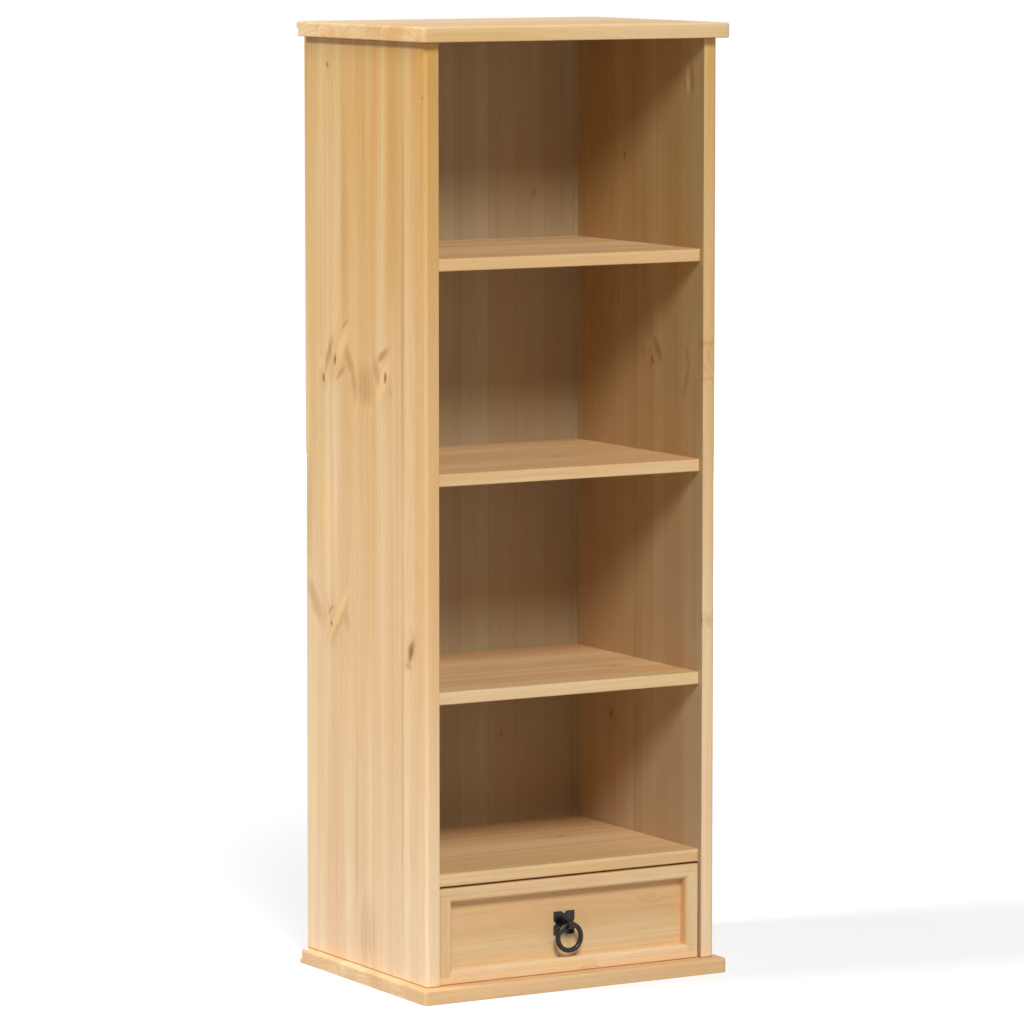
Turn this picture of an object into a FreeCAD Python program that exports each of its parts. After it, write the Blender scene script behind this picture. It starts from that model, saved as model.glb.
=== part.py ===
import FreeCAD, Part
import math
import os

# A tall narrow pine cabinet for discs: four open compartments over one inset drawer with
# a ring pull. Millimetres, with X to the right, Y to the back and Z up. The origin is on
# the floor, under the middle of the base.

Vector = FreeCAD.Vector
RIGHT = Vector(1, 0, 0)
BACKWARD = Vector(0, 1, 0)
UP = Vector(0, 0, 1)
SIDES = (-1, 1)           # left, then right

# Boards of the case
WIDTH = 420.0             # top and base, left to right
DEPTH = 313.0             # top and base, front to back
BOARD = 18.0              # thickness of the top, base and side boards
SHELF = 15.0              # thickness of the shelves and of the divider over the drawer
BACK = 4.0                # thickness of the back panel
SIDE_INSET = 10.5         # side boards, in from the ends of the top and base
FRONT_INSET = 14.0        # side boards, back from the front of the top and base
SHELF_INSET = 6.5         # shelf fronts, back from the front edges of the side boards

# Clear heights between the boards, from the base up
DRAWER_SPACE = 118.0
LOWER_SPACE = 202.0
MIDDLE_SPACE = 243.5
UPPER_SPACE = 238.0
TOP_SPACE = 252.5

# Rounded edges of the case
TOP_CORNER = 6.0          # front corners of the top, seen from above
TOP_UPPER_ROUND = 3.0
TOP_LOWER_ROUND = 1.5
BASE_CORNER = 5.0
BASE_UPPER_ROUND = 3.5
BASE_LOWER_ROUND = 1.0
SIDE_OUTER_ROUND = 5.0    # front edge of a side board, on the outside
SIDE_INNER_ROUND = 1.0
SHELF_UPPER_ROUND = 3.0
SHELF_LOWER_ROUND = 1.5
SHELF_CORNER = 2.0        # front corners of a shelf, seen from above

# Rebates that hold the back panel
TOP_REBATE = 10.0         # height of the rebate in the top
BASE_REBATE = 11.5        # height of the rebate in the base
SIDE_REBATE = 9.0         # width of the rebate in each side board
BACK_PLAY = 0.5           # left all round the back panel

# Glued dowels of the case
SHELF_DOWEL = 6.0         # diameters
CASE_DOWEL = 8.0
SHELF_DOWEL_IN_SIDE = 11.0
SHELF_DOWEL_IN_SHELF = 19.0
CASE_DOWEL_IN_BOARD = 11.0
CASE_DOWEL_IN_SIDE = 24.0
SHELF_DOWEL_INSET = 50.0  # from the front and the rear of a shelf
CASE_DOWEL_INSET = 45.0   # from the front and the rear of a side board
DOWEL_CHAMFER = 0.8
DOWEL_FIT = 0.05          # glue line round a dowel
DOWEL_PLAY = 0.5          # empty hole beyond each end of a dowel

# Screws up through the base
SCREW = 4.0
SCREW_HEAD = 8.0
SCREW_LENGTH = 45.0
SCREW_SINK = 0.5          # head above the underside of the base
DRIVE_SLOT = 1.0          # cross recess in the head
DRIVE_SPAN = 4.4
DRIVE_DEPTH = 1.6

# Nails through the back panel and pins in the drawer
NAIL = 1.6
NAIL_HEAD = 3.6
NAIL_HEAD_HEIGHT = 0.8
NAIL_LENGTH = 20.0
NAIL_END_INSET = 60.0     # first and last nail from the ends of a side board
NAILS_PER_SIDE = 7
SHELF_NAIL_X = 90.0       # nails into a shelf, each way from the middle
RAIL_NAIL_X = 120.0       # nails into the top and base, each way from the middle
PIN_LENGTH = 25.0
PIN_SINK = 0.5
PIN_INSET = 22.0          # pins from the upper and lower edge of a drawer side

# Drawer box
SIDE_GAP = 2.0            # drawer to side board
UPPER_GAP = 2.5           # drawer front to divider
LOWER_GAP = 0.5           # drawer front to base
DRAWER_INSET = 4.0        # drawer front, back from the front edges of the side boards
FRONT_BOARD = 12.0
DRAWER_SIDE = 12.0
DRAWER_BACK = 12.0
DRAWER_BOTTOM = 4.0
HEADROOM = 10.0           # drawer sides to divider
FRONT_LAP = 7.0           # depth of the rebates where the sides lap the front board
GROOVE = 5.0              # depth of the groove round the drawer bottom
BOTTOM_LIFT = 8.0         # drawer bottom above the lower edges of the sides
BOTTOM_PLAY = 0.3
BOTTOM_PIN_X = 110.0      # pins up into the drawer back, each way from the middle

# Blocks on the base that stop the drawer
STOP_LENGTH = 18.0
STOP_WIDTH = 30.0
STOP_HEIGHT = 12.0
STOP_X = 120.0            # middle of each block, each way from the middle
STOP_PLAY = 0.3

# Moulded frame on the drawer front
FRAME_DEPTH = 13.0
FRAME_FACE = 13.5         # flat face, from the outer edge to the moulding
BEAD_AT = 8.6             # fine groove, from the outer edge
BEAD_WIDTH = 0.8
BEAD_DEPTH = 0.5
MOULDING = 3.5            # width of the rounded inner edge
MOULDING_DROP = 4.5       # depth of the rounded inner edge
FRONT_ROUND = 1.5         # outer edges of the drawer front

# Ring pull
PULL_X = -2.0
PLATE = 28.5              # side of the square plate
PLATE_THICKNESS = 2.0
PLATE_CHAMFER = 0.5
NOTCH_WIDTH = 7.3
NOTCH_DEPTH = 3.3
SHANK = 5.0
SHANK_FIT = 0.1
SHANK_SPARE = 2.0         # end of the shank beyond the nut
EYE_REACH = 11.6          # front of the plate to the middle of the eye
EYE_WIDTH = 7.4
EYE_WALL = 2.1
EYE_ROUND = 0.8
NECK = 6.0
COLLAR = 9.0
COLLAR_HEIGHT = 1.2
RING_RADIUS = 15.9        # to the middle of the bar
RING_BAR = 6.0
RING_PLAY = 0.4
WASHER = 10.0
WASHER_THICKNESS = 1.0
NUT = 8.0                 # across the flats
NUT_HEIGHT = 4.0

TOUCHING = 0.01           # edges this near to a face lie on it

# Places that follow from the sizes above
FRONT = -DEPTH / 2
REAR = DEPTH / 2
SIDE_FRONT = FRONT + FRONT_INSET
SHELF_FRONT = SIDE_FRONT + SHELF_INSET
BACK_FACE = REAR - BACK
OUTER = WIDTH / 2 - SIDE_INSET
INNER = OUTER - BOARD
SIDE_MIDDLE = OUTER - BOARD / 2
DIVIDER_Z = BOARD + DRAWER_SPACE
LOWER_Z = DIVIDER_Z + SHELF + LOWER_SPACE
MIDDLE_Z = LOWER_Z + SHELF + MIDDLE_SPACE
UPPER_Z = MIDDLE_Z + SHELF + UPPER_SPACE
TOP_Z = UPPER_Z + SHELF + TOP_SPACE
HEIGHT = TOP_Z + BOARD
SHELVES = {
    "drawer_divider": DIVIDER_Z,
    "lower_shelf": LOWER_Z,
    "middle_shelf": MIDDLE_Z,
    "upper_shelf": UPPER_Z,
}

DRAWER_FRONT = SIDE_FRONT + DRAWER_INSET
PANEL_FACE = DRAWER_FRONT + FRAME_DEPTH
BOARD_REAR = PANEL_FACE + FRONT_BOARD
DRAWER_REAR = BACK_FACE - STOP_LENGTH - STOP_PLAY
DRAWER_HALF = INNER - SIDE_GAP
DRAWER_INNER = DRAWER_HALF - DRAWER_SIDE
FRONT_LOW = BOARD + LOWER_GAP
FRONT_HIGH = DIVIDER_Z - UPPER_GAP
SIDES_HIGH = DIVIDER_Z - HEADROOM
BOTTOM_Z = BOARD + BOTTOM_LIFT
FLOOR_Z = BOTTOM_Z + DRAWER_BOTTOM
MEMBER = FRAME_FACE + MOULDING

PULL_Z = (FRONT_LOW + FRONT_HIGH) / 2
PLATE_FACE = PANEL_FACE - PLATE_THICKNESS
EYE_Y = PLATE_FACE - EYE_REACH
RING_SAG = RING_RADIUS - math.sqrt(RING_RADIUS ** 2 - (EYE_WIDTH / 2) ** 2)
EYE_BORE = RING_BAR / 2 + RING_SAG / 2 + RING_PLAY
EYE_RADIUS = EYE_BORE + EYE_WALL


def block(x, y, z):
    """A box between two X, two Y and two Z values."""
    return Part.makeBox(x[1] - x[0], y[1] - y[0], z[1] - z[0], Vector(x[0], y[0], z[0]))


def prism(points, along):
    """A straight-sided outline, swept along a vector."""
    return Part.Face(Part.makePolygon(points + points[:1])).extrude(along)


def rod(start, end, diameter):
    """A round bar from one point to another."""
    return Part.makeCylinder(diameter / 2, (end - start).Length, start, end - start)


# Dowels, screws, nails and pins, with the holes they sit in

def dowel(start, end, diameter):
    bar = rod(start, end, diameter)
    rims = [edge for edge in bar.Edges if len(edge.Vertexes) == 1]
    return bar.makeChamfer(DOWEL_CHAMFER, rims)


def dowel_hole(start, end, diameter):
    spare = (end - start).normalize() * DOWEL_PLAY
    return rod(start - spare, end + spare, diameter + 2 * DOWEL_FIT)


def shelf_dowel_places():
    """Ends of each level dowel, from inside the side board to inside the shelf."""
    places = []
    for shelf_z in SHELVES.values():
        for y in (SHELF_FRONT + SHELF_DOWEL_INSET, BACK_FACE - SHELF_DOWEL_INSET):
            for side in SIDES:
                outer = Vector(side * (INNER + SHELF_DOWEL_IN_SIDE), y, shelf_z + SHELF / 2)
                inner = Vector(side * (INNER - SHELF_DOWEL_IN_SHELF), y, shelf_z + SHELF / 2)
                places.append((outer, inner))
    return places


def case_dowel_depths():
    """Y of the three dowels at each end of a side board."""
    first = SIDE_FRONT + CASE_DOWEL_INSET
    last = REAR - CASE_DOWEL_INSET
    return (first, (first + last) / 2, last)


def case_dowel_places(joint_z, into_board):
    """Ends of the upright dowels where the side boards meet the top or the base."""
    places = []
    for side in SIDES:
        for y in case_dowel_depths():
            joint = Vector(side * SIDE_MIDDLE, y, joint_z)
            in_board = joint + UP * into_board * CASE_DOWEL_IN_BOARD
            in_side = joint - UP * into_board * CASE_DOWEL_IN_SIDE
            places.append((in_board, in_side))
    return places


def top_dowel_places():
    return case_dowel_places(TOP_Z, 1)


def base_dowel_places():
    return case_dowel_places(BOARD, -1)


def screw_places():
    """Heads of the base screws, half way between the dowels."""
    first, middle, last = case_dowel_depths()
    places = []
    for side in SIDES:
        for y in ((first + middle) / 2, (middle + last) / 2):
            places.append(Vector(side * SIDE_MIDDLE, y, SCREW_SINK))
    return places


def screw_body(head):
    cone_height = (SCREW_HEAD - SCREW) / 2
    cone = Part.makeCone(SCREW_HEAD / 2, SCREW / 2, cone_height, head, UP)
    return cone.fuse(rod(head, head + UP * SCREW_LENGTH, SCREW)).removeSplitter()


def base_screw(head):
    half = DRIVE_SPAN / 2
    slot = DRIVE_SLOT / 2
    depth = (head.z, head.z + DRIVE_DEPTH)
    across = block((head.x - half, head.x + half), (head.y - slot, head.y + slot), depth)
    along = block((head.x - slot, head.x + slot), (head.y - half, head.y + half), depth)
    return screw_body(head).cut([across, along])


def screw_hole(head):
    mouth = rod(head - UP * SCREW_SINK, head, SCREW_HEAD)
    return screw_body(head).fuse(mouth)


def nail_places():
    """Heads of the nails, on the rear of the back panel."""
    first = BOARD + NAIL_END_INSET
    step = (TOP_Z - NAIL_END_INSET - first) / (NAILS_PER_SIDE - 1)
    places = []
    for side in SIDES:
        for number in range(NAILS_PER_SIDE):
            places.append((side * (INNER + SIDE_REBATE / 2), first + number * step))
        for shelf_z in SHELVES.values():
            places.append((side * SHELF_NAIL_X, shelf_z + SHELF / 2))
    for x in (-RAIL_NAIL_X, 0, RAIL_NAIL_X):
        places.append((x, TOP_Z + TOP_REBATE / 2))
        places.append((x, BOARD - BASE_REBATE / 2))
    return [Vector(x, REAR, z) for x, z in places]


def nail(head):
    tip = head - BACKWARD * NAIL_LENGTH
    disc = rod(head, head - BACKWARD * NAIL_HEAD_HEIGHT, NAIL_HEAD)
    return rod(head, tip, NAIL).fuse(disc).removeSplitter()


def drawer_pin_places():
    """Ends of the pins through the drawer sides into the front board and the back."""
    low = BOARD + PIN_INSET
    high = SIDES_HIGH - PIN_INSET
    places = []
    for side in SIDES:
        for y in (BOARD_REAR - FRONT_LAP / 2, DRAWER_REAR - DRAWER_BACK / 2):
            for z in (low, (low + high) / 2, high):
                start = Vector(side * (DRAWER_HALF - PIN_SINK), y, z)
                places.append((start, start - RIGHT * side * PIN_LENGTH))
    return places


def pin_hole(start, end):
    return rod(start - (end - start).normalize() * PIN_SINK, end, NAIL)


def bottom_pin_places():
    """Ends of the pins up through the drawer bottom into the drawer back."""
    places = []
    for x in (-BOTTOM_PIN_X, 0, BOTTOM_PIN_X):
        start = Vector(x, DRAWER_REAR - DRAWER_BACK / 2, BOTTOM_Z)
        places.append((start, start + UP * NAIL_LENGTH))
    return places


def case_holes():
    """Every hole in the case: one list, cut from each board."""
    holes = [dowel_hole(start, end, SHELF_DOWEL) for start, end in shelf_dowel_places()]
    upright = top_dowel_places() + base_dowel_places()
    holes += [dowel_hole(start, end, CASE_DOWEL) for start, end in upright]
    holes += [screw_hole(head) for head in screw_places()]
    holes += [nail(head) for head in nail_places()]
    return holes


def drilled(board, holes):
    """The board with those holes that reach it."""
    return board.cut([hole for hole in holes if hole.BoundBox.intersect(board.BoundBox)])


# Boards of the case

def is_front_upright(edge, front):
    box = edge.BoundBox
    level = box.ZLength < TOUCHING
    return not level and box.YLength < TOUCHING and abs(box.YMin - front) < TOUCHING


def rim(board, z):
    """The edges at height z round the front and both ends of a board."""
    box = board.BoundBox
    level = [edge for edge in board.Edges
             if edge.BoundBox.ZLength < TOUCHING and abs(edge.BoundBox.ZMin - z) < TOUCHING]
    return [edge for edge in level if edge.BoundBox.YMin < box.YMax - TOUCHING]


def slab(z, corner, upper_round, lower_round):
    """A board over the whole plan, rounded at the front and both ends."""
    board = block((-WIDTH / 2, WIDTH / 2), (FRONT, REAR), (z, z + BOARD))
    corners = [edge for edge in board.Edges if is_front_upright(edge, FRONT)]
    board = board.makeFillet(corner, corners)
    board = board.makeFillet(upper_round, rim(board, z + BOARD))
    return board.makeFillet(lower_round, rim(board, z))


def rear_rebate(low, high):
    return block((-WIDTH / 2, WIDTH / 2), (BACK_FACE, REAR), (low, high))


def top_board():
    board = slab(TOP_Z, TOP_CORNER, TOP_UPPER_ROUND, TOP_LOWER_ROUND)
    return board.cut(rear_rebate(TOP_Z, TOP_Z + TOP_REBATE))


def base_board():
    board = slab(0, BASE_CORNER, BASE_UPPER_ROUND, BASE_LOWER_ROUND)
    return board.cut(rear_rebate(BOARD - BASE_REBATE, BOARD))


def side_board(side):
    across = sorted((side * INNER, side * OUTER))
    board = block(across, (SIDE_FRONT, REAR), (BOARD, TOP_Z))
    uprights = [edge for edge in board.Edges if is_front_upright(edge, SIDE_FRONT)]
    outer = [edge for edge in uprights if abs(abs(edge.BoundBox.XMin) - OUTER) < TOUCHING]
    board = board.makeFillet(SIDE_OUTER_ROUND, outer)
    uprights = [edge for edge in board.Edges if is_front_upright(edge, SIDE_FRONT)]
    inner = [edge for edge in uprights if abs(abs(edge.BoundBox.XMin) - INNER) < TOUCHING]
    board = board.makeFillet(SIDE_INNER_ROUND, inner)
    rebate = sorted((side * INNER, side * (INNER + SIDE_REBATE)))
    return board.cut(block(rebate, (BACK_FACE, REAR), (BOARD, TOP_Z)))


def back_panel():
    half = INNER + SIDE_REBATE - BACK_PLAY
    low = BOARD - BASE_REBATE + BACK_PLAY
    high = TOP_Z + TOP_REBATE - BACK_PLAY
    return block((-half, half), (BACK_FACE, REAR), (low, high))


def rounded_plan(half, front, rear, corner):
    """The outline of a shelf seen from above, with its two front corners rounded."""
    bulge = corner * (1 - math.sqrt(0.5))
    left_end = Vector(-half, front + corner, 0)
    left_front = Vector(-half + corner, front, 0)
    right_front = Vector(half - corner, front, 0)
    right_end = Vector(half, front + corner, 0)
    rear_right = Vector(half, rear, 0)
    rear_left = Vector(-half, rear, 0)
    left_arc = Part.Arc(left_end, Vector(-half + bulge, front + bulge, 0), left_front)
    right_arc = Part.Arc(right_front, Vector(half - bulge, front + bulge, 0), right_end)
    edges = [
        left_arc.toShape(),
        Part.makeLine(left_front, right_front),
        right_arc.toShape(),
        Part.makeLine(right_end, rear_right),
        Part.makeLine(rear_right, rear_left),
        Part.makeLine(rear_left, left_end),
    ]
    return Part.Face(Part.Wire(edges))


def shelf(z):
    """A board between the sides, with its front edge and front corners rounded."""
    board = block((-INNER, INNER), (SHELF_FRONT, BACK_FACE), (z, z + SHELF))
    for height, radius in ((z + SHELF, SHELF_UPPER_ROUND), (z, SHELF_LOWER_ROUND)):
        level = rim(board, height)
        front = [edge for edge in level if edge.BoundBox.YMax < SHELF_FRONT + TOUCHING]
        board = board.makeFillet(radius, front)
    plan = rounded_plan(INNER, SHELF_FRONT, BACK_FACE, SHELF_CORNER)
    plan.translate(UP * z)
    return board.common(plan.extrude(UP * SHELF))


def drawer_stops():
    """Two blocks on the base, between the drawer and the back panel."""
    blocks = []
    for side in SIDES:
        across = (side * STOP_X - STOP_WIDTH / 2, side * STOP_X + STOP_WIDTH / 2)
        depth = (BACK_FACE - STOP_LENGTH, BACK_FACE)
        blocks.append(block(across, depth, (BOARD, BOARD + STOP_HEIGHT)))
    return blocks


# Drawer box

def drawer_front_board(holes):
    """The board behind the frame, cut away at its ends where the sides lap it."""
    board = block((-DRAWER_HALF, DRAWER_HALF), (PANEL_FACE, BOARD_REAR), (FRONT_LOW, FRONT_HIGH))
    cuts = [bottom_groove()]
    for side in SIDES:
        lap = sorted((side * DRAWER_INNER, side * DRAWER_HALF))
        cuts.append(block(lap, (BOARD_REAR - FRONT_LAP, BOARD_REAR), (FRONT_LOW, SIDES_HIGH)))
    shank_start = Vector(PULL_X, PANEL_FACE, PULL_Z)
    shank_end = Vector(PULL_X, BOARD_REAR, PULL_Z)
    cuts.append(rod(shank_start, shank_end, SHANK + 2 * SHANK_FIT))
    return drilled(board.cut(cuts), holes)


def bottom_groove():
    """The space of the groove that runs round the sides and the front board."""
    half = DRAWER_INNER + GROOVE
    return block((-half, half), (BOARD_REAR - GROOVE, DRAWER_REAR), (BOTTOM_Z, FLOOR_Z))


def drawer_side(side, holes):
    across = sorted((side * DRAWER_INNER, side * DRAWER_HALF))
    board = block(across, (BOARD_REAR - FRONT_LAP, DRAWER_REAR), (BOARD, SIDES_HIGH))
    groove_x = sorted((side * DRAWER_INNER, side * (DRAWER_INNER + GROOVE)))
    groove = block(groove_x, (BOARD_REAR - FRONT_LAP, DRAWER_REAR), (BOTTOM_Z, FLOOR_Z))
    return drilled(board.cut(groove), holes)


def drawer_back(holes):
    depth = (DRAWER_REAR - DRAWER_BACK, DRAWER_REAR)
    board = block((-DRAWER_INNER, DRAWER_INNER), depth, (FLOOR_Z, SIDES_HIGH))
    return drilled(board, holes)


def drawer_bottom(holes):
    half = DRAWER_INNER + GROOVE - BOTTOM_PLAY
    depth = (BOARD_REAR - GROOVE + BOTTOM_PLAY, DRAWER_REAR)
    return drilled(block((-half, half), depth, (BOTTOM_Z, FLOOR_Z)), holes)


# Moulded frame on the drawer front

def frame_section(place):
    """The section of a frame member.

    place(across, deep) gives the point that lies so far from the member's outer edge and
    so far behind its face.
    """
    radius = (MOULDING ** 2 + MOULDING_DROP ** 2) / (2 * MOULDING)
    start_angle = math.asin(MOULDING_DROP / radius)
    middle_across = MEMBER - radius + radius * math.cos(start_angle / 2)
    middle_deep = MOULDING_DROP - radius * math.sin(start_angle / 2)
    corners = [
        place(MEMBER, MOULDING_DROP),
        place(MEMBER, FRAME_DEPTH),
        place(0, FRAME_DEPTH),
        place(0, 0),
        place(BEAD_AT - BEAD_WIDTH / 2, 0),
        place(BEAD_AT, BEAD_DEPTH),
        place(BEAD_AT + BEAD_WIDTH / 2, 0),
        place(FRAME_FACE, 0),
    ]
    edges = [Part.makeLine(a, b) for a, b in zip(corners, corners[1:])]
    moulding = Part.Arc(corners[-1], place(middle_across, middle_deep), corners[0])
    edges.append(moulding.toShape())
    return Part.Face(Part.Wire(edges))


def stile_area(side):
    """Where a stile shows: between the grooves of the rails, mitred at the mouldings."""
    def point(across, from_edge, edge, inward):
        return Vector(side * (DRAWER_HALF - across), DRAWER_FRONT, edge + inward * from_edge)

    steps = ((0, BEAD_AT), (FRAME_FACE, BEAD_AT), (FRAME_FACE, FRAME_FACE), (MEMBER, MEMBER))
    lower = [point(across, up, FRONT_LOW, 1) for across, up in steps]
    upper = [point(across, down, FRONT_HIGH, -1) for across, down in reversed(steps)]
    return prism(lower + upper, BACKWARD * FRAME_DEPTH)


def front_envelope():
    """The whole frame's outer shape, rounded along its front edges."""
    across = (-DRAWER_HALF, DRAWER_HALF)
    shape = block(across, (DRAWER_FRONT, PANEL_FACE), (FRONT_LOW, FRONT_HIGH))
    front = [edge for edge in shape.Edges if edge.BoundBox.YMax < DRAWER_FRONT + TOUCHING]
    return shape.makeFillet(FRONT_ROUND, front)


def frame_rail(edge, inward):
    """A rail over the whole width, cut back where the stiles meet it."""
    def place(across, deep):
        return Vector(-DRAWER_HALF, DRAWER_FRONT + deep, edge + inward * across)

    bar = frame_section(place).extrude(RIGHT * 2 * DRAWER_HALF)
    return bar.cut([stile_area(side) for side in SIDES]).common(front_envelope())


def frame_stile(side):
    def place(across, deep):
        return Vector(side * (DRAWER_HALF - across), DRAWER_FRONT + deep, FRONT_LOW)

    bar = frame_section(place).extrude(UP * (FRONT_HIGH - FRONT_LOW))
    return bar.common(stile_area(side)).common(front_envelope())


# Ring pull

def pull_plate():
    """A square plate with a V notch in the middle of each side."""
    centre = Vector(PULL_X, PLATE_FACE, PULL_Z)
    half = PLATE / 2
    mouth = NOTCH_WIDTH / 2
    outline = []
    for turn in range(4):
        corner_and_notch = ((-half, half), (-mouth, half), (0, half - NOTCH_DEPTH), (mouth, half))
        for x, z in corner_and_notch:
            for _ in range(turn):
                x, z = z, -x
            outline.append(centre + RIGHT * x + UP * z)
    plate = prism(outline, BACKWARD * PLATE_THICKNESS)
    front = [edge for edge in plate.Edges if edge.BoundBox.YMax < PLATE_FACE + TOUCHING]
    plate = plate.makeChamfer(PLATE_CHAMFER, front)
    return plate.cut(rod(centre, centre + BACKWARD * PLATE_THICKNESS, SHANK + 2 * SHANK_FIT))


def pull_eye():
    """The eye that the ring hangs in, with its collar and its threaded shank."""
    eye_middle = Vector(PULL_X, EYE_Y, PULL_Z)
    plate_middle = Vector(PULL_X, PLATE_FACE, PULL_Z)
    half = RIGHT * (EYE_WIDTH / 2)
    knuckle = rod(eye_middle - half, eye_middle + half, 2 * EYE_RADIUS)
    rims = [edge for edge in knuckle.Edges if len(edge.Vertexes) == 1]
    knuckle = knuckle.makeFillet(EYE_ROUND, rims)
    neck = rod(eye_middle, plate_middle, NECK)
    collar = rod(plate_middle - BACKWARD * COLLAR_HEIGHT, plate_middle, COLLAR)
    inside = PLATE_THICKNESS + FRONT_BOARD + WASHER_THICKNESS + NUT_HEIGHT + SHANK_SPARE
    shank = rod(plate_middle, plate_middle + BACKWARD * inside, SHANK)
    bore = rod(eye_middle - half, eye_middle + half, 2 * EYE_BORE)
    return knuckle.fuse([neck, collar, shank]).cut(bore)


def pull_washer():
    front = Vector(PULL_X, BOARD_REAR, PULL_Z)
    rear = front + BACKWARD * WASHER_THICKNESS
    return rod(front, rear, WASHER).cut(rod(front, rear, SHANK + 2 * SHANK_FIT))


def pull_nut():
    front = Vector(PULL_X, BOARD_REAR + WASHER_THICKNESS, PULL_Z)
    rear = front + BACKWARD * NUT_HEIGHT
    corner = NUT / 2 / math.cos(math.pi / 6)
    outline = []
    for number in range(6):
        angle = number * math.pi / 3
        outline.append(front + RIGHT * corner * math.cos(angle) + UP * corner * math.sin(angle))
    hexagon = prism(outline, rear - front)
    return hexagon.cut(rod(front, rear, SHANK + 2 * SHANK_FIT))


def pull_ring():
    """The ring hangs with its bar in the eye, as much above its middle as below."""
    middle = Vector(PULL_X, EYE_Y, PULL_Z + RING_SAG / 2 - RING_RADIUS)
    return Part.makeTorus(RING_RADIUS, RING_BAR / 2, middle, BACKWARD)


# Every sub-part by name

def case_parts():
    holes = case_holes()
    parts = {
        "top_board": drilled(top_board(), holes),
        "base_board": drilled(base_board(), holes),
        "side_panel_left": drilled(side_board(-1), holes),
        "side_panel_right": drilled(side_board(1), holes),
        "back_panel": drilled(back_panel(), holes),
    }
    for name, z in SHELVES.items():
        parts[name] = drilled(shelf(z), holes)
    parts["drawer_stops"] = Part.Compound(drawer_stops())
    parts["shelf_dowels"] = group(dowel, shelf_dowel_places(), SHELF_DOWEL)
    parts["top_dowels"] = group(dowel, top_dowel_places(), CASE_DOWEL)
    parts["base_dowels"] = group(dowel, base_dowel_places(), CASE_DOWEL)
    parts["base_screws"] = Part.Compound([base_screw(head) for head in screw_places()])
    parts["back_panel_nails"] = Part.Compound([nail(head) for head in nail_places()])
    return parts


def drawer_parts():
    pins = drawer_pin_places()
    bottom_pins = bottom_pin_places()
    holes = [pin_hole(start, end) for start, end in pins]
    holes += [rod(start, end, NAIL) for start, end in bottom_pins]
    return {
        "drawer_front_board": drawer_front_board(holes),
        "drawer_front_rail_top": frame_rail(FRONT_HIGH, -1),
        "drawer_front_rail_bottom": frame_rail(FRONT_LOW, 1),
        "drawer_front_stile_left": frame_stile(-1),
        "drawer_front_stile_right": frame_stile(1),
        "drawer_side_left": drawer_side(-1, holes),
        "drawer_side_right": drawer_side(1, holes),
        "drawer_back": drawer_back(holes),
        "drawer_bottom": drawer_bottom(holes),
        "drawer_corner_pins": group(rod, pins, NAIL),
        "drawer_bottom_pins": group(rod, bottom_pins, NAIL),
        "pull_plate": pull_plate(),
        "pull_eye": pull_eye(),
        "pull_washer": pull_washer(),
        "pull_nut": pull_nut(),
    }


def group(make, places, diameter):
    """The same small piece at every place, as separate solids of one sub-part."""
    return Part.Compound([make(start, end, diameter) for start, end in places])


def main():
    parts = case_parts()
    parts.update(drawer_parts())
    parts["pull_ring"] = pull_ring()
    os.makedirs("parts", exist_ok=True)
    for name, shape in parts.items():
        shape.exportStep("parts/" + name + ".step")
        state = "valid" if shape.isValid() else "NOT VALID"
        print(name, len(shape.Solids), "solids,", round(shape.Volume), "mm3,", state)
    print("overall", WIDTH, DEPTH, HEIGHT)


main()
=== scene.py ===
# %% [markdown]
# # A tall pine cabinet with one framed drawer
#
# This notebook dresses a cabinet whose joinery is already modelled to size. The boards arrive
# as fixed meshes. What is left for Blender is what the eye reads as a real piece of furniture:
# lacquered pine with its own figure on every board, black ironmongery, the small steel
# fasteners, and the light. Everything is in metres, X to the right, Y to the back, Z up.

# %% The fixed boards
import math
from collections import namedtuple

import bpy
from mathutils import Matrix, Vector


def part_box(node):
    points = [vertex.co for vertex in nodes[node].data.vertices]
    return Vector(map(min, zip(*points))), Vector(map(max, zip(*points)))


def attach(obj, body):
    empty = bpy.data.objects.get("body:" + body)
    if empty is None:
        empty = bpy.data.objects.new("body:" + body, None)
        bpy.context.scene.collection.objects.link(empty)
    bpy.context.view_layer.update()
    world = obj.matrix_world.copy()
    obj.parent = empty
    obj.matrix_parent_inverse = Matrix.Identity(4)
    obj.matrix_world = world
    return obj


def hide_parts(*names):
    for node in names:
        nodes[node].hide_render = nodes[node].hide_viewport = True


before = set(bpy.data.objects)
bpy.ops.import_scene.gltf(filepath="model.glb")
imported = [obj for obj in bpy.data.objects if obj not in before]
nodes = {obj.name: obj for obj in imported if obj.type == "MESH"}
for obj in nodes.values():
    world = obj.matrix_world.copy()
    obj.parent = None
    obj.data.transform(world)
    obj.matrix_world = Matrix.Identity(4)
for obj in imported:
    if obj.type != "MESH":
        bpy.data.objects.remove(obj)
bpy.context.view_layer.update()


def middle_of(node_name):
    low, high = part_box(node_name)
    return (low + high) / 2


# %% [markdown]
# ## Wiring a material
#
# A procedural material is a small machine of nodes. Built by hand in the editor it soon turns
# into a web, so each kind of node gets a short helper here. A helper takes numbers or the
# outputs of other nodes alike, and gives back the output that the next step needs. The
# materials below then read like sums.

# %% Helpers for material nodes


def shade(red, green, blue):
    """A display colour, 0 to 255, as the linear colour that a shader takes."""
    linear = [((v / 255 + 0.055) / 1.055) ** 2.4 for v in (red, green, blue)]
    return (*linear, 1.0)


def feed(tree, node, inputs):
    """Gives a node its inputs, each a number or another node's output."""
    for name, value in inputs.items():
        if isinstance(value, bpy.types.NodeSocket):
            tree.links.new(value, node.inputs[name])
        else:
            node.inputs[name].default_value = value


def add(tree, kind, inputs=None, **settings):
    """One new node with its settings and inputs."""
    made = tree.nodes.new(kind)
    for name, value in settings.items():
        setattr(made, name, value)
    feed(tree, made, inputs or {})
    return made


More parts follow.
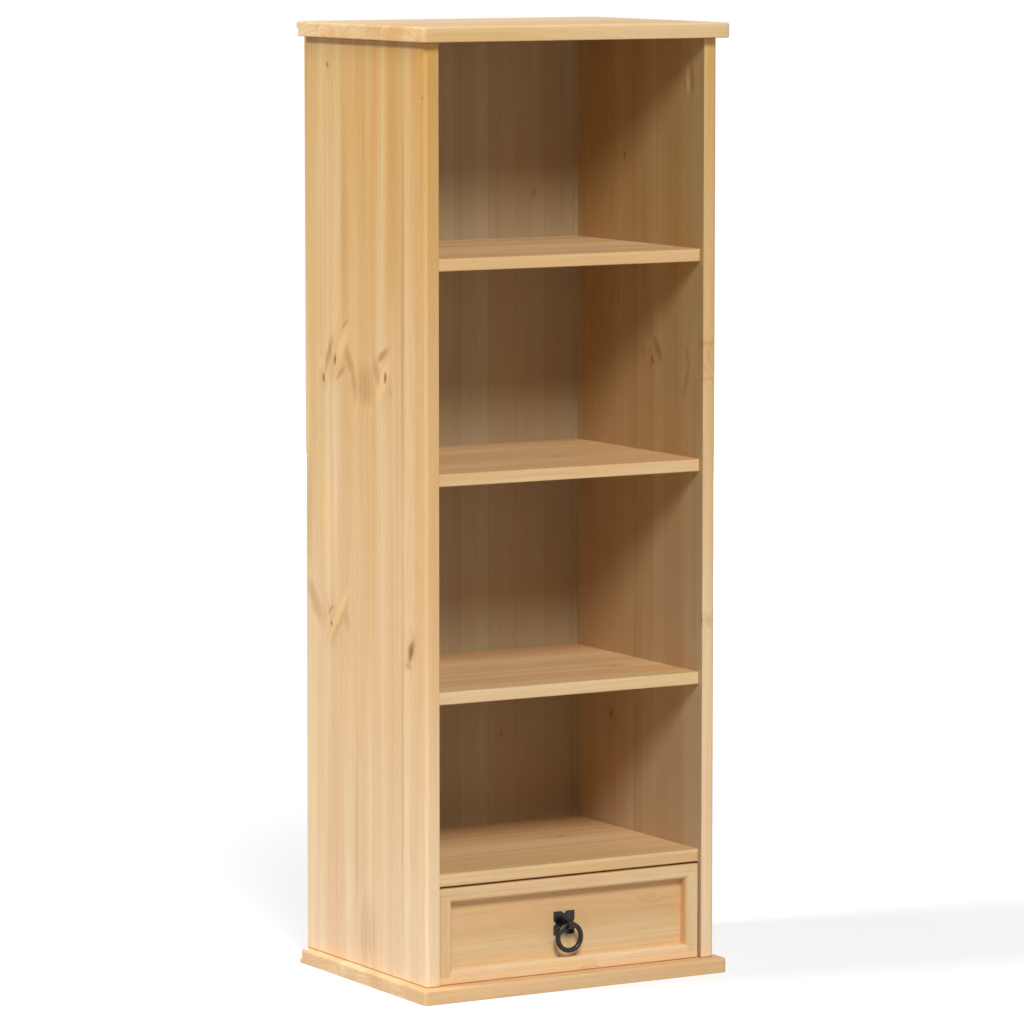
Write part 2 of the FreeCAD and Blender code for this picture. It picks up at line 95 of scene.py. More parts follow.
def calc(tree, operation, *values):
    made = add(tree, "ShaderNodeMath", dict(enumerate(values)), operation=operation)
    return made.outputs[0]


def vector_calc(tree, operation, *values):
    made = add(tree, "ShaderNodeVectorMath", dict(enumerate(values)), operation=operation)
    return made.outputs["Value" if operation == "LENGTH" else "Vector"]


def remap(tree, value, low, high, to_low=0.0, to_high=1.0):
    """Value runs smoothly from to_low at low to to_high at high, and stays there beyond."""
    inputs = {
        "Value": value,
        "From Min": low,
        "From Max": high,
        "To Min": to_low,
        "To Max": to_high,
    }
    made = add(tree, "ShaderNodeMapRange", inputs, interpolation_type="SMOOTHSTEP")
    return made.outputs["Result"]


def noise(tree, place, stretch, detail=2.0):
    """Cloudy values round 0.5. Stretch says how many clouds fit in a metre along each axis."""
    stretched = vector_calc(tree, "MULTIPLY", place, stretch)
    inputs = {"Vector": stretched, "Scale": 1.0, "Detail": detail, "Roughness": 0.55}
    return add(tree, "ShaderNodeTexNoise", inputs).outputs[0]


def even_noise(tree, place, clouds_per_metre, detail=2.0):
    """Cloudy values round 0.5, with clouds as wide as they are long."""
    return noise(tree, place, (clouds_per_metre,) * 3, detail)


def blend(tree, share, first, second):
    made = add(tree, "ShaderNodeMix", {0: share, 6: first, 7: second}, data_type="RGBA")
    return made.outputs[2]


def object_position(tree):
    return add(tree, "ShaderNodeTexCoord").outputs["Object"]


def new_material(name):
    """An empty material with its tree and its shader."""
    made = bpy.data.materials.new(name)
    made.use_nodes = True
    shader = made.node_tree.nodes["Principled BSDF"]
    return made, made.node_tree, shader


def wear(node_name, material):
    """A fixed mesh gets this material and no other."""
    slots = nodes[node_name].data.materials
    slots.clear()
    slots.append(material)


print("honey pine, linear:", [round(v, 3) for v in shade(230, 194, 146)])

# %% [markdown]
# ## Pine, grown in three dimensions
#
# A board is cut out of a trunk, so its pattern isn't printed on its faces: it is the trunk's
# yearly rings, cut through. An image could show one face, but the faces would not meet at the
# edges. So the rings are worked out in space, as distance from the heart of the tree, and each
# face shows its own cut through them, end grain too. The steps are:
#
# - where a point lies across, through and along the board
# - which glued strip it is in, because each strip comes from another piece of the trunk
# - how far it is from the heart, with a slow wander, because trees don't grow straight
# - a push outwards near every knot, which bends the rings into the eyes and arrows round it.

# %% Colours of pine
PALE_WOOD = shade(246, 213, 162)
HONEY_WOOD = shade(233, 188, 128)
PEACH_WOOD = shade(236, 182, 126)
# painted shade: a duller, darker brown laid on the faces that look into the cabinet, standing
# in for the shade in there
PAINTED_SHADE_BROWN = shade(148, 134, 102)
LATE_WOOD = shade(206, 152, 90)
KNOT_HALO = shade(216, 164, 112)
KNOT_BROWN = shade(190, 140, 80)
KNOT_HEART = shade(146, 94, 46)
STROKE_BROWN = shade(180, 120, 56)
STROKE_PALE = shade(254, 214, 146)
SEAM_BROWN = shade(160, 112, 64)
print("from pale to late wood, linear red:", round(PALE_WOOD[0], 3), round(LATE_WOOD[0], 3))

# %% Sizes in pine
RING = 0.0058          # one year's growth
HEART_DEPTH = 0.046    # from the middle of the board to the heart of the tree
WANDER = 0.05          # how far the heart strays along a board
STRIP_JUMP = 3.7       # from one glued strip to the next, in the trunk
RING_WAVE = 0.9        # how far a ring waves, in years
DARKEST = 0.8          # share of a year after which its wood is darkest
SEAM = 0.0005          # half the width of a glue line, which fades out over twice that
FACE_START = 0.0008    # a tint that lies on one face only starts this far under the face
FACE_FULL = 0.0002     # and has its full strength from here on
# painted shade: a thin brown line at both ends of an upright board, where it meets the base and
# the top
LINE_START = 0.0020    # the brown line at a board's end starts this far from the end
LINE_FULL = 0.0006     # and has its full strength from here on
RELIEF = 0.0003        # height of the fibres and rings that the light catches
THROUGH = 100.0        # knots and strokes go right through a board

# Clouds in a metre of wood, as (across, through, along). The fewer there are along the board,
# the longer the streaks that they make.
HEART_WANDER = (1.0, 1.0, 1.3)
HEART_SWAY = (9.0, 9.0, 2.6)
RING_WAVES = (70.0, 70.0, 5.0)
RAGGED_EDGES = (160.0, 160.0, 90.0)
BROAD_BANDS = (19.0, 19.0, 0.7)
FLUSHES = (46.0, 46.0, 0.8)
STREAKS = (190.0, 190.0, 1.2)
BLOTCHES = (7.0, 7.0, 2.2)
FIBRES = (1300.0, 1300.0, 16.0)
RESIN_DUCTS = (900.0, 900.0, 45.0)

AXES = {"X": 0, "Y": 1, "Z": 2}

# A knot: where it is across and along the board, half its reach each way, how far it leans
# in degrees, how many rings it pushes aside, and its solid core as a share of its reach
Knot = namedtuple("Knot", "across along half_width half_height lean push core")

# A stroke of the figure: its ends as (across, along), half its width, and how brown it is,
# or below 0 how pale
Stroke = namedtuple("Stroke", "start end half_width tone")
print("rings in a metre of trunk:", round(1 / RING))

# %% Where a point lies in its board


def grain_place(tree, node_name, across, along):
    """Position as (across, through, along), from the middle of the board."""
    through = ({"X", "Y", "Z"} - {across, along}).pop()
    middle = middle_of(node_name)
    centred = vector_calc(tree, "SUBTRACT", object_position(tree), tuple(middle))
    parts = add(tree, "ShaderNodeSeparateXYZ", {0: centred}).outputs
    ordered = {i: parts[AXES[axis]] for i, axis in enumerate((across, through, along))}
    place = add(tree, "ShaderNodeCombineXYZ", ordered).outputs[0]
    return place, Vector((middle[AXES[across]], middle[AXES[along]]))


def strips(tree, sideways, seams, half_width):
    """The number of the glued strip and the distance from the strip's middle line."""
    edges = [-half_width, *seams, half_width]
    middles = [(a + b) / 2 for a, b in zip(edges, edges[1:])]
    number = 0.0
    middle = middles[0]
    for seam, here, beyond in zip(seams, middles, middles[1:]):
        past = calc(tree, "GREATER_THAN", sideways, seam)
        number = calc(tree, "ADD", number, past)
        middle = calc(tree, "MULTIPLY_ADD", past, beyond - here, middle)
    return number, calc(tree, "SUBTRACT", sideways, middle)


def seam_lines(tree, sideways, seams):
    """1 on a glue line, 0 away from it."""
    line = 0.0
    for seam in seams:
        away = calc(tree, "ABSOLUTE", calc(tree, "SUBTRACT", sideways, seam))
        line = calc(tree, "MAXIMUM", line, remap(tree, away, SEAM, 3 * SEAM, 1.0, 0.0))
    return line


def on_face(tree, outwards, half_size):
    """0 inside a board, 1 on the face that lies half the board's size from its middle."""
    return remap(tree, outwards, half_size - FACE_START, half_size - FACE_FULL)


print("a tint on a face is", FACE_START, "m deep")

# %% [markdown]
# ## Knots and the figure round them
#
# A knot is a branch that the trunk has grown round. It could be one dark dot, but what the eye
# knows it by is what it does to its neighbourhood: rings pushed aside, a warm halo, a ragged
# brown core with a dark heart. The arrows and lines round it are strokes, which are the same
# ovals, only long and thin. Their sizes are counted in shares of the oval's own reach, so a
# big knot and a small one are drawn by the same rules.

# %% Knots and strokes


def oval_distance(tree, place, centre, half_width, half_length, lean):
    """Distance from the middle of an oval, counted so that 1 is its rim."""
    inputs = {
        "Vector": place,
        "Location": (centre[0], 0.0, centre[1]),
        "Rotation": (0.0, lean, 0.0),
        "Scale": (half_width, THROUGH, half_length),
    }
    rounded = add(tree, "ShaderNodeMapping", inputs, vector_type="TEXTURE").outputs[0]
    return vector_calc(tree, "LENGTH", rounded)


def knot_fields(tree, place, ragged, knots, middle):
    """Rings pushed aside, share of halo, of brown core and of dark heart, over all knots."""
    push = halo = core = heart = 0.0
    for knot in knots:
        centre = Vector((knot.across, knot.along)) - middle
        lean = math.radians(knot.lean)
        away = oval_distance(tree, place, centre, knot.half_width, knot.half_height, lean)
        near = remap(tree, away, 0.0, 1.5, 1.0, 0.0)
        push = calc(tree, "MULTIPLY_ADD", near, knot.push, push)
        halo = calc(tree, "MAXIMUM", halo, remap(tree, away, 0.1, 1.1, 1.0, 0.0))
        if knot.core:
            rough_edge = calc(tree, "MULTIPLY_ADD", ragged, knot.core, away)
            brown = remap(tree, rough_edge, knot.core * 1.1, knot.core * 1.8, 1.0, 0.0)
            dark = remap(tree, rough_edge, knot.core * 0.6, knot.core * 1.3, 1.0, 0.0)
            core = calc(tree, "MAXIMUM", core, brown)
            heart = calc(tree, "MAXIMUM", heart, dark)
    return push, halo, core, heart


def stroke_fields(tree, place, ragged, strokes, middle):
    """Share of brown and share of pale, over all strokes."""
    brown = pale = 0.0
    for stroke in strokes:
        start, end = Vector(stroke.start) - middle, Vector(stroke.end) - middle
        across, along = end - start
        lean = math.atan2(across, along)
        half_width = stroke.half_width * 1.5
        half_length = ((end - start).length / 2 + stroke.half_width) * 1.2
        away = oval_distance(tree, place, (start + end) / 2, half_width, half_length, lean)
        away = calc(tree, "MULTIPLY_ADD", ragged, 0.5, away)
        share = remap(tree, away, 0.45, 1.25, abs(stroke.tone), 0.0)
        if stroke.tone > 0:
            brown = calc(tree, "MAXIMUM", brown, share)
        else:
            pale = calc(tree, "MAXIMUM", pale, share)
    return brown, pale


print("a knot needs", len(Knot._fields), "values, a stroke", len(Stroke._fields))

# %% Rings of the trunk


def late_wood(tree, place, away_from_middle, strip, push, shift):
    """0 in the pale wood of spring, rising to 1 in the dark line at the end of each year."""
    drift = vector_calc(tree, "ADD", place, (0.0, 0.0, shift))
    per_strip = calc(tree, "MULTIPLY", strip, STRIP_JUMP)
    offset = add(tree, "ShaderNodeCombineXYZ", {0: per_strip, 2: per_strip}).outputs[0]
    drift = vector_calc(tree, "ADD", drift, offset)
    wander = calc(tree, "SUBTRACT", noise(tree, drift, HEART_WANDER, 1.0), 0.5)
    sway = calc(tree, "SUBTRACT", noise(tree, drift, HEART_SWAY), 0.5)
    sideways = calc(tree, "MULTIPLY_ADD", wander, WANDER, away_from_middle)
    depth = add(tree, "ShaderNodeSeparateXYZ", {0: place}).outputs[1]
    turned_over = calc(tree, "PINGPONG", strip, 1.0)
    facing = calc(tree, "MULTIPLY_ADD", turned_over, -2.0, 1.0)
    depth = calc(tree, "MULTIPLY_ADD", depth, facing, HEART_DEPTH)
    depth = calc(tree, "MULTIPLY_ADD", sway, WANDER, depth)
    from_heart = add(tree, "ShaderNodeCombineXYZ", {0: sideways, 1: depth}).outputs[0]
    years = calc(tree, "DIVIDE", vector_calc(tree, "LENGTH", from_heart), RING)
    wavy = noise(tree, drift, RING_WAVES)
    years = calc(tree, "MULTIPLY_ADD", wavy, RING_WAVE, calc(tree, "ADD", years, push))
    season = calc(tree, "FRACT", years)
    rise = remap(tree, season, 0.0, DARKEST)
    fall = remap(tree, season, DARKEST, 1.0, 1.0, 0.0)
    return calc(tree, "MULTIPLY", rise, fall), drift


print("the heart lies", round(HEART_DEPTH / RING), "rings from the middle of a board")

# %% [markdown]
# ## From fields to a finish
#
# A field is a number at each point: how late in the year the wood grew, how near a knot is.
# Each field mixes in one colour, from the broadest pattern to the rings. Then the board is
# made lighter or darker, and warmer or cooler, which is how two boards of the same pine differ.
# On the side boards it also darkens towards the top, which is painted shade. Knots, strokes and
# glue lines come last, because they are as brown on a pale board as on a dark one, and so do
# the painted shade on a face into the cabinet and the thin line of painted shade at the ends
# of an upright board.
#
# Lacquer is a clear coat over dull wood, so the wood itself gets no gloss, and only the coat
# shines. Painting the gloss on the wood would make it look like plastic.

# %% Parts of the pine finish
Clouds = namedtuple("Clouds", "band flush streak blotch fibre ducts")


def tinted(tree, wood, share, amount, colour):
    """The wood with so much of a colour in it, where the share is 1."""
    return blend(tree, calc(tree, "MULTIPLY", share, amount), wood, colour)


def wood_clouds(tree, drift):
    """The cloudy fields of one board. Ducts is 1 on a resin duct and 0 elsewhere."""
    return Clouds(
        band=noise(tree, drift, BROAD_BANDS),
        flush=noise(tree, drift, FLUSHES),
        streak=noise(tree, drift, STREAKS),
        blotch=noise(tree, drift, BLOTCHES),
        fibre=noise(tree, drift, FIBRES),
        ducts=remap(tree, noise(tree, drift, RESIN_DUCTS, 0.0), 0.71, 0.77),
    )


def ringed_wood(tree, clouds, late, halo, end_grain):
    """Bands, flushes and streaks with the rings, which are clearer by a knot and on an end."""
    wood = blend(tree, remap(tree, clouds.band, 0.32, 0.66), PALE_WOOD, HONEY_WOOD)
    wood = tinted(tree, wood, remap(tree, clouds.flush, 0.50, 0.70), 0.7, PEACH_WOOD)
    wood = tinted(tree, wood, remap(tree, clouds.streak, 0.52, 0.76), 0.26, LATE_WOOD)
    clearness = calc(tree, "MULTIPLY_ADD", halo, 0.26, 0.10)
    clearness = calc(tree, "MULTIPLY_ADD", end_grain, 0.12, clearness)
    return tinted(tree, wood, late, clearness, LATE_WOOD)


def toned(tree, wood, clouds, strip_tone, painted_upward_shade, tone, warmth):
    """The wood, made lighter or darker and warmer or cooler from place to place."""
    # painted shade: darker and more saturated towards the upper end of the board
    value = calc(tree, "MULTIPLY_ADD", painted_upward_shade, -1.0, tone - 0.08)
    shifts = (
        (clouds.blotch, 0.06),
        (clouds.fibre, 0.06),
        (strip_tone, 0.04),
        (clouds.ducts, -0.08),
    )
    for field, amount in shifts:
        value = calc(tree, "MULTIPLY_ADD", field, amount, value)
    rich = calc(tree, "MULTIPLY_ADD", clouds.blotch, -0.3, warmth + 0.11)
    rich = calc(tree, "MULTIPLY_ADD", painted_upward_shade, 0.9, rich)
    inputs = {"Saturation": rich, "Value": value, "Color": wood}
    return add(tree, "ShaderNodeHueSaturation", inputs).outputs[0]


def pine_relief(tree, clouds, late, line, seam_depth):
    """Fibres and rings stand up a little, resin ducts and glue lines are sunk."""
    height = calc(tree, "MULTIPLY_ADD", clouds.fibre, 0.5, calc(tree, "MULTIPLY", late, 0.3))
    height = calc(tree, "SUBTRACT", height, calc(tree, "MULTIPLY", clouds.ducts, 0.5))
    height = calc(tree, "SUBTRACT", height, calc(tree, "MULTIPLY", line, 2 * seam_depth))
    inputs = {"Strength": 0.3, "Distance": RELIEF, "Height": height}
    return add(tree, "ShaderNodeBump", inputs).outputs[0]


print("fields of cloud in each board:", len(Clouds._fields))

# %% The whole pine finish


def pine_finish(
    node_name, across, along, seams=(), knots=(), strokes=(), shift=0.0, tone=1.0, warmth=1.0,
    painted_shade_per_metre=0.0, painted_inside_shade=0.0, inside_face_sign=1.0, painted_joint_shade=0.0, seam_depth=0.3, coat=0.3, roughness=0.22,
):
    """Gives one board its own pine.

    The colour can darken and deepen along the grain, so much per metre: a painted shade,
    darker towards the upper end of a side board, that stands in for light falling off upwards.
    The face that looks into the cabinet can get a painted shade, a duller and darker brown, and
    the sign says which face that is. The two ends of an upright board can get a painted shade
    too, a thin brown line where it meets the base and the top. Coat and roughness are those of
    the lacquer.
    """
    material, tree, shader = new_material(node_name + "_pine")
    place, middle = grain_place(tree, node_name, across, along)
    low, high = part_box(node_name)
    half_width = (high - low)[AXES[across]] / 2
    half_length = (high - low)[AXES[along]] / 2
    half_thickness = min(high - low) / 2
    sideways, depth, lengthways = add(tree, "ShaderNodeSeparateXYZ", {0: place}).outputs
    seams = [seam - middle[0] for seam in seams]
    strip, from_middle = strips(tree, sideways, seams, half_width)
    ragged = noise(tree, place, RAGGED_EDGES)
    push, halo, core, heart = knot_fields(tree, place, ragged, knots, middle)
    brown, pale = stroke_fields(tree, place, ragged, strokes, middle)
    late, drift = late_wood(tree, place, from_middle, strip, push, shift)
    clouds = wood_clouds(tree, drift)
    line = seam_lines(tree, sideways, seams)

    from_centre = calc(tree, "ABSOLUTE", lengthways)
    end_grain = on_face(tree, from_centre, half_length)
    wood = ringed_wood(tree, clouds, late, halo, end_grain)
    white_noise = add(tree, "ShaderNodeTexWhiteNoise", {"W": strip}, noise_dimensions="1D")
    # painted shade that darkens the board towards its upper end, in place of light falling off
    # upwards
    painted_upward_shade = calc(tree, "MULTIPLY", lengthways, painted_shade_per_metre)
    wood = toned(tree, wood, clouds, white_noise.outputs[0], painted_upward_shade, tone, warmth)

    tints = [
        (halo, 0.25, KNOT_HALO),
        (brown, 1.0, STROKE_BROWN),
        (pale, 1.0, STROKE_PALE),
        (core, 0.85, KNOT_BROWN),
        (heart, 0.8, KNOT_HEART),
        (line, seam_depth, SEAM_BROWN),
    ]
    # painted shade: a thin brown line at the ends of the board, where it meets the base and the
    # top
    if painted_joint_shade:
        joint_shade = remap(tree, from_centre, half_length - LINE_START, half_length - LINE_FULL)
        tints.append((joint_shade, painted_joint_shade, SEAM_BROWN))
    # painted shade on the face that looks into the cabinet
    if painted_inside_shade:
        inwards = calc(tree, "MULTIPLY", depth, inside_face_sign)
        tints.append((on_face(tree, inwards, half_thickness), painted_inside_shade, PAINTED_SHADE_BROWN))
    for share, amount, colour in tints:
        wood = tinted(tree, wood, share, amount, colour)

    feed(tree, shader, {
        "Base Color": wood,
        "Normal": pine_relief(tree, clouds, late, line, seam_depth),
        "Roughness": 0.6,
        "Specular IOR Level": 0.0,
        "Coat Weight": coat,
        "Coat Roughness": roughness,
    })
    wear(node_name, material)
    counts = (len(seams) + 1, "strips,", len(knots), "knots,", len(tree.nodes), "nodes")
    print(node_name, "pine:", *counts)


# %% [markdown]
# ## The two side boards
#
# The side boards are the broadest faces of the cabinet and carry its best figure. Each is
# glued up from two strips, with the grain upright. The knots could be scattered at random, but
# a few that are placed one by one look grown: a pair with arrow-shaped figures above the
# middle, an open arrow and one long dark knot below. A knot grows through the whole board, so
# the same list serves both faces of it.

# %% Left side board
left_knots = [
    Knot(0.081, 0.747, 0.026, 0.050, -10, 2.2, 0.13),
    Knot(0.110, 0.722, 0.013, 0.020, 0, 0.6, 0.30),
    Knot(-0.044, 0.734, 0.024, 0.048, -12, 2.2, 0.16),
    Knot(0.006, 0.716, 0.030, 0.042, 0, -1.2, 0.0),
    Knot(0.092, 0.426, 0.030, 0.046, 16, 2.0, 0.08),
    Knot(-0.106, 0.416, 0.016, 0.034, -16, 1.4, 0.42),
    Knot(0.098, 1.099, 0.012, 0.018, 20, 0.8, 0.22),
    Knot(-0.136, 1.067, 0.006, 0.008, 0, 0.5, 0.24),
    Knot(0.001, 0.060, 0.030, 0.060, 0, 1.2, 0.0),
]
left_strokes = [
    Stroke((0.088, 0.774), (0.105, 0.734), 0.0050, 0.60),
    Stroke((0.066, 0.784), (0.046, 0.798), 0.0025, 0.50),
    Stroke((0.078, 0.724), (0.056, 0.740), 0.0035, 0.50),
    Stroke((0.054, 0.762), (0.036, 0.732), 0.0075, 0.45),
    Stroke((0.040, 0.745), (0.030, 0.706), 0.0060, 0.40),
    Stroke((0.006, 0.730), (0.006, 0.714), 0.0200, 0.26),
    Stroke((-0.018, 0.752), (-0.028, 0.725), 0.0070, 0.40),
    Stroke((-0.024, 0.752), (-0.050, 0.768), 0.0045, 0.65),
    Stroke((-0.055, 0.724), (-0.059, 0.712), 0.0025, 0.40),
    Stroke((0.078, 0.742), (0.048, 0.790), 0.0080, -0.45),
    Stroke((0.120, 0.745), (0.114, 0.735), 0.0060, -0.35),
    Stroke((-0.028, 0.712), (-0.054, 0.754), 0.0095, -0.55),
    Stroke((0.024, 0.694), (-0.020, 0.690), 0.0060, -0.16),
    Stroke((0.152, 0.474), (0.120, 0.428), 0.0100, 0.36),
    Stroke((0.099, 0.438), (0.088, 0.450), 0.0020, 0.65),
    Stroke((0.050, 0.458), (0.092, 0.407), 0.0060, 0.42),
    Stroke((0.062, 0.446), (0.052, 0.430), 0.0090, 0.26),
    Stroke((0.102, 0.403), (0.046, 0.474), 0.0080, -0.55),
    Stroke((0.152, 0.438), (0.112, 0.398), 0.0060, -0.40),
    Stroke((-0.094, 0.398), (-0.106, 0.395), 0.0030, 0.45),
    Stroke((-0.090, 1.125), (-0.085, 0.520), 0.0040, 0.34),
    Stroke((-0.086, 0.640), (-0.083, 0.030), 0.0035, 0.30),
    Stroke((0.058, 1.000), (0.056, 0.790), 0.0100, 0.16),
    Stroke((-0.064, 1.120), (-0.066, 0.790), 0.0110, 0.18),
    Stroke((0.148, 0.640), (0.150, 0.480), 0.0070, 0.24),
    Stroke((0.028, 0.300), (0.032, 0.060), 0.0040, 0.18),
    Stroke((0.104, 0.640), (0.102, 0.480), 0.0140, -0.40),
]
# Painted shade: the board darkens upwards, its face into the cabinet is duller and darker, and
# a thin brown line lies at both ends.
pine_finish(
    "side_panel_left", "Y", "Z", seams=(-0.087,), knots=left_knots, strokes=left_strokes,
    shift=0.4, painted_shade_per_metre=0.36, painted_inside_shade=0.45, painted_joint_shade=0.8, seam_depth=0.08,
)

# %% Right side board
right_knots = [
    Knot(-0.026, 0.738, 0.024, 0.038, 24, 2.0, 0.14),
    Knot(-0.140, 0.752, 0.026, 0.030, 10, 1.6, 0.0),
    Knot(-0.141, 0.431, 0.008, 0.012, 0, 0.8, 0.16),
    Knot(0.070, 0.290, 0.028, 0.040, -10, 2.2, 0.12),
    Knot(0.040, 0.985, 0.014, 0.020, 0, 1.2, 0.24),
]
right_strokes = [
    Stroke((-0.047, 0.740), (-0.030, 0.764), 0.0060, 0.70),
    Stroke((-0.041, 0.711), (-0.034, 0.730), 0.0050, -0.45),
    Stroke((-0.028, 0.757), (-0.002, 0.759), 0.0050, -0.40),
    Stroke((-0.104, 0.758), (-0.110, 0.735), 0.0040, 0.36),
    Stroke((-0.110, 0.736), (-0.098, 0.700), 0.0040, 0.42),
    Stroke((-0.126, 0.800), (-0.120, 0.715), 0.0100, -0.40),
    Stroke((-0.115, 1.098), (-0.116, 1.064), 0.0050, 0.70),
    Stroke((-0.105, 1.096), (-0.107, 1.060), 0.0040, -1.00),
    Stroke((-0.097, 1.090), (-0.099, 1.058), 0.0020, 0.45),
    Stroke((-0.154, 0.769), (-0.130, 0.763), 0.0026, 0.22),
    Stroke((-0.154, 0.727), (-0.130, 0.720), 0.0026, 0.20),
    Stroke((-0.005, 0.980), (-0.005, 0.800), 0.0070, 0.28),
]
# Painted shade: the board darkens upwards, its face into the cabinet is duller and darker, and
# a thin brown line lies at both ends.
pine_finish(
    "side_panel_right", "Y", "Z", seams=(0.014,), knots=right_knots, strokes=right_strokes,
    shift=5.3, painted_shade_per_metre=0.34, painted_inside_shade=0.45, inside_face_sign=-1.0, painted_joint_shade=0.8,
)

# %% [markdown]
# ## Top, base and shelves
#
# These boards run from side to side, so their grain does too. One material for all of them
# would be less work, but two boards with the same figure are the surest sign of a copy. So
# every board gets another shift along the trunk, and a knot of its own.

# %% Top and base
top_knots = [
    Knot(0.02, -0.118, 0.024, 0.040, 12, 2.2, 0.12),
    Knot(-0.07, 0.090, 0.018, 0.030, -8, 1.8, 0.16),
]
base_knots = [Knot(0.06, 0.06, 0.022, 0.036, 8, 2.0, 0.12)]
# The top is toned a little darker: partly its own tone, partly a painted shade that offsets the
# light on its upper face. The base is toned lighter, painted light for the light that the floor
# throws back on its front.
pine_finish(
    "top_board", "Y", "X", seams=(-0.052, 0.048), knots=top_knots, shift=9.1, tone=0.94,
    warmth=1.05, seam_depth=0.14,
)
pine_finish(
    "base_board", "Y", "X", seams=(-0.048, 0.056), knots=base_knots, shift=13.7, tone=1.12,
    warmth=0.94, seam_depth=0.14,
)

# %% Shelves
FIRST_SHELF_SHIFT = 17.0
SHELF_SHIFT_STEP = 4.3
shelf_knots = {
    "drawer_divider": Knot(0.03, 0.085, 0.020, 0.034, 6, 2.0, 0.12),
    "lower_shelf": Knot(-0.04, 0.118, 0.022, 0.034, -9, 2.0, 0.12),
    "middle_shelf": Knot(-0.02, 0.052, 0.020, 0.036, 10, 2.0, 0.10),
    "upper_shelf": Knot(0.05, -0.060, 0.020, 0.034, -6, 2.0, 0.12),
}
for number, (name, knot) in enumerate(shelf_knots.items()):
    shelf_shift = FIRST_SHELF_SHIFT + SHELF_SHIFT_STEP * number
    pine_finish(name, "Y", "X", seams=(-0.03, 0.06), knots=[knot], shift=shelf_shift, tone=0.98)

# %% [markdown]
# ## The back
#
# The back is a thin panel of narrow strips, all upright, and the strips differ a little in
# tone. They are the same pine, only darker and less warm, with more seams, smaller knots and
# hardly any gloss, because a back gets the thinnest lacquer.

# %% Back panel
STRIP = 0.0405
ONE_SEAM = 0.0128
strip_edges = [ONE_SEAM + STRIP * i for i in range(-4, 5)]
back_knots = [
    Knot(0.118, 0.935, 0.012, 0.022, 0, 1.4, 0.2),
    Knot(-0.046, 0.515, 0.012, 0.020, 0, 1.2, 0.2),
    Knot(0.072, 0.262, 0.010, 0.018, 0, 1.2, 0.2),
]
# Painted shade: the back's face into the cabinet gets a duller, darker brown.
pine_finish(
    "back_panel", "X", "Z", seams=strip_edges, knots=back_knots, shift=37.0,
    tone=0.86, warmth=0.8, painted_inside_shade=0.6, inside_face_sign=-1.0, seam_depth=0.18, coat=0.08, roughness=0.4,
)

# %% [markdown]
# ## The drawer
#
# Its front is a board in a moulded frame, lacquered like the case. The grain of each frame
# member runs along the member, which is what tells a real frame from a carved board. The box
# behind it is plain planed pine with next to no gloss, and a little less yellow.

# %% Drawer front
front_knots = [Knot(0.094, 0.118, 0.010, 0.022, 0, 1.0, 0.0)]
pine_finish("drawer_front_board", "Z", "X", knots=front_knots, shift=41.3, tone=0.97)
rail_knots = [Knot(0.0216, 0.024, 0.006, 0.014, 0, 1.4, 0.0)]
rail_strokes = [
    Stroke((0.027, -0.050), (0.030, 0.030), 0.0045, -0.55),
    Stroke((0.021, 0.000), (0.024, 0.045), 0.0030, -0.45),
    Stroke((0.020, 0.012), (0.025, 0.022), 0.0012, 0.45),
    Stroke((0.024, 0.030), (0.019, 0.042), 0.0010, 0.40),
]
# The bottom rail is toned lighter than the other members: partly a pale figure in its grain,
# partly painted light for its upward moulding, which catches the light.
pine_finish(
    "drawer_front_rail_bottom", "Z", "X", knots=rail_knots, strokes=rail_strokes, shift=46.3,
    tone=1.13, warmth=0.92,
)
pine_finish("drawer_front_rail_top", "Z", "X", shift=47.9, tone=0.98)
pine_finish("drawer_front_stile_left", "X", "Z", shift=51.2, tone=0.98)
pine_finish("drawer_front_stile_right", "X", "Z", shift=53.8, tone=0.98)

# %% Drawer box and stops
bare = {"coat": 0.05, "roughness": 0.55, "warmth": 0.86}
left_side_knots = [Knot(0.07, 0.02, 0.010, 0.022, 0, 1.4, 0.2)]
right_side_knots = [Knot(0.05, -0.04, 0.010, 0.022, 0, 1.4, 0.2)]
bottom_seams = (-0.08, 0.0, 0.07)
pine_finish("drawer_side_left", "Z", "Y", knots=left_side_knots, shift=57.4, **bare)
pine_finish("drawer_side_right", "Z", "Y", knots=right_side_knots, shift=61.1, **bare)
pine_finish("drawer_back", "Z", "X", shift=64.6, **bare)
pine_finish("drawer_bottom", "Y", "X", seams=bottom_seams, shift=67.3, tone=0.95, **bare)
pine_finish("drawer_stops", "Y", "X", shift=71.5, **bare)

# %% [markdown]
# ## Beech dowels
#
# Beech has no clear rings at this size. What marks it is its rays: short dark flecks along the
# grain on a pinkish ground. Stretched noise, cut off high, gives flecks of that shape.

# %% Beech
BEECH = shade(214, 172, 132)
BEECH_FLECK = shade(150, 100, 66)
FLECKS_ACROSS = 2600.0
FLECKS_ALONG = 260.0


def beech_finish(node_name, along):
    material, tree, shader = new_material(node_name + "_beech")
    position = object_position(tree)
    flecks = [FLECKS_ACROSS] * 3
    flecks[AXES[along]] = FLECKS_ALONG
    fleck = remap(tree, noise(tree, position, tuple(flecks), 1.0), 0.56, 0.68)
    cloud = even_noise(tree, position, 90.0)
    wood = blend(tree, calc(tree, "MULTIPLY", fleck, 0.5), BEECH, BEECH_FLECK)
    value = calc(tree, "MULTIPLY_ADD", cloud, 0.2, 0.9)
    wood = add(tree, "ShaderNodeHueSaturation", {"Value": value, "Color": wood}).outputs[0]
    rough = calc(tree, "MULTIPLY_ADD", cloud, 0.15, 0.5)
    bump = add(tree, "ShaderNodeBump", {"Strength": 0.3, "Distance": 0.0001, "Height": fleck})
    feed(tree, shader, {"Base Color": wood, "Roughness": rough, "Normal": bump.outputs[0]})
    wear(node_name, material)


